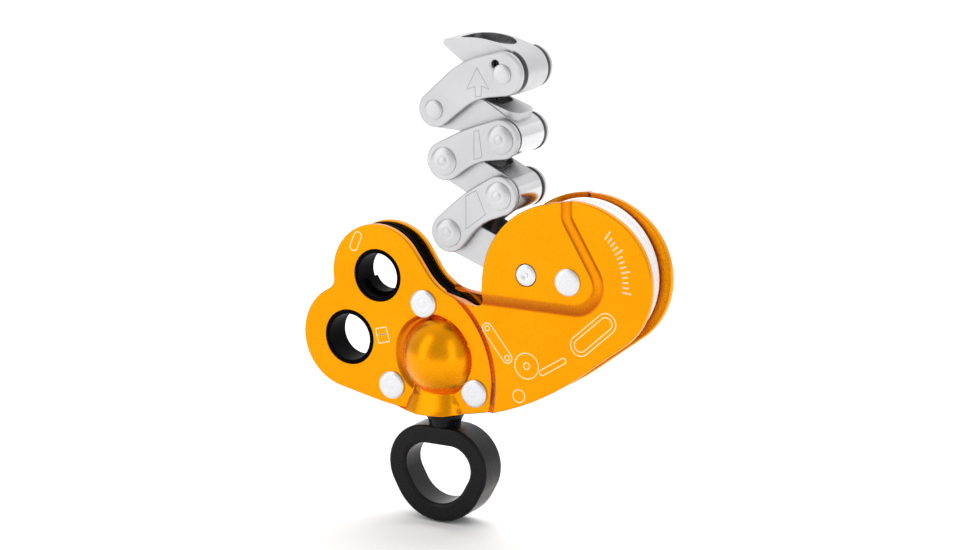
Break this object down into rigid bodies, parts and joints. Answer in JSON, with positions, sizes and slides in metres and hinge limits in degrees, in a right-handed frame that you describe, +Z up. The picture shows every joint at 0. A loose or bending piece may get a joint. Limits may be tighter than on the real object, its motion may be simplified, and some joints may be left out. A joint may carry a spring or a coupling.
{
  "type": "rope ascender",
  "caption": "Chain-type rope ascender and descender with side plates, a sheave, a pinned friction chain and a ball-bearing swivel eye.",
  "frame": {"origin": "centre of the lower attachment hole, midway between the side plates", "axes": "+Z up the rope, +X along the side plates from the attachment holes towards the sheave, +Y across the plates towards the rear plate"},
  "size_m": [0.1407, 0.0294, 0.176],
  "materials": {
    "orange": "orange anodised, satin",
    "nylon": "moulded black nylon",
    "rubber": "black seal rubber",
    "rivet_steel": "zinc-plated, blasted, satin",
    "bearing_steel": "ground bearing steel",
    "sheave_alloy": "clear anodised, turned",
    "black_alloy": "black anodised, satin",
    "blasted_steel": "stainless, bead blasted",
    "pin_steel": "stainless, tumbled",
    "washer_black": "dark low-friction washer"
  },
  "bodies": {
    "root": {"front_side_plate": "orange", "rear_side_plate": "orange", "core_spacer": "nylon", "lower_bushing": "nylon", "upper_bushing": "nylon", "upper_hole_keeper": "nylon", "body_rivets": "rivet_steel", "sheave_axle": "rivet_steel", "axle_sleeves": "bearing_steel", "chain_pivots": "rivet_steel", "sheave_inner_race": "bearing_steel", "swivel_outer_race": "bearing_steel", "swivel_seal": "rubber"},
    "sheave_wheel": {"sheave": "sheave_alloy", "sheave_outer_race": "bearing_steel", "sheave_balls": "bearing_steel", "sheave_shields": "rubber"},
    "swivel": {"swivel_eye": "black_alloy", "swivel_bolt": "bearing_steel", "swivel_nut": "bearing_steel", "swivel_inner_race": "bearing_steel", "swivel_balls": "bearing_steel"},
    "fork": {"fork_link": "blasted_steel"},
    "lower_shackle": {"lower_front_plate": "blasted_steel", "lower_rear_plate": "blasted_steel", "lower_left_pin": "pin_steel", "lower_right_pin": "pin_steel", "lower_washers": "washer_black"},
    "lower_ring": {"lower_inner_link": "blasted_steel"},
    "middle_shackle": {"middle_front_plate": "blasted_steel", "middle_rear_plate": "blasted_steel", "middle_left_pin": "pin_steel", "middle_right_pin": "pin_steel", "middle_washers": "washer_black"},
    "upper_ring": {"upper_inner_link": "blasted_steel"},
    "top_shackle": {"top_front_plate": "blasted_steel", "top_rear_plate": "blasted_steel", "top_left_pin": "pin_steel", "lever_pin": "pin_steel", "top_washers": "washer_black"},
    "lever": {"release_lever": "blasted_steel"}
  },
  "joints": [
    {"name": "sheave_spin", "type": "hinge", "parent": "root", "child": "sheave_wheel", "pos_m": [0.0912, 0, 0.0318], "axis": [0, 1, 0], "continuous": true},
    {"name": "swivel_spin", "type": "hinge", "parent": "root", "child": "swivel", "pos_m": [0.0364, 0, -0.0029], "axis": [0, 0, 1], "continuous": true},
    {"name": "fork_hinge", "type": "hinge", "parent": "root", "child": "fork", "pos_m": [0.0749, 0, 0.0324], "axis": [0, 1, 0], "range_deg": [-8, 10]},
    {"name": "lower_left_hinge", "type": "hinge", "parent": "fork", "child": "lower_shackle", "pos_m": [0.0445, 0, 0.0441], "axis": [0, -1, 0], "range_deg": [-1, 35]},
    {"name": "lower_right_hinge", "type": "hinge", "parent": "lower_shackle", "child": "lower_ring", "pos_m": [0.0643, 0, 0.059], "axis": [0, 1, 0], "range_deg": [-4, 30]},
    {"name": "middle_left_hinge", "type": "hinge", "parent": "lower_ring", "child": "middle_shackle", "pos_m": [0.0428, 0, 0.0693], "axis": [0, -1, 0], "range_deg": [-4, 30]},
    {"name": "middle_right_hinge", "type": "hinge", "parent": "middle_shackle", "child": "upper_ring", "pos_m": [0.065, 0, 0.0787], "axis": [0, 1, 0], "range_deg": [-3, 30]},
    {"name": "top_left_hinge", "type": "hinge", "parent": "upper_ring", "child": "top_shackle", "pos_m": [0.039, 0, 0.087], "axis": [0, -1, 0], "range_deg": [-2, 30]},
    {"name": "lever_hinge", "type": "hinge", "parent": "top_shackle", "child": "lever", "pos_m": [0.0657, 0, 0.1014], "axis": [0, -1, 0], "range_deg": [-20, 25]}
  ]
}
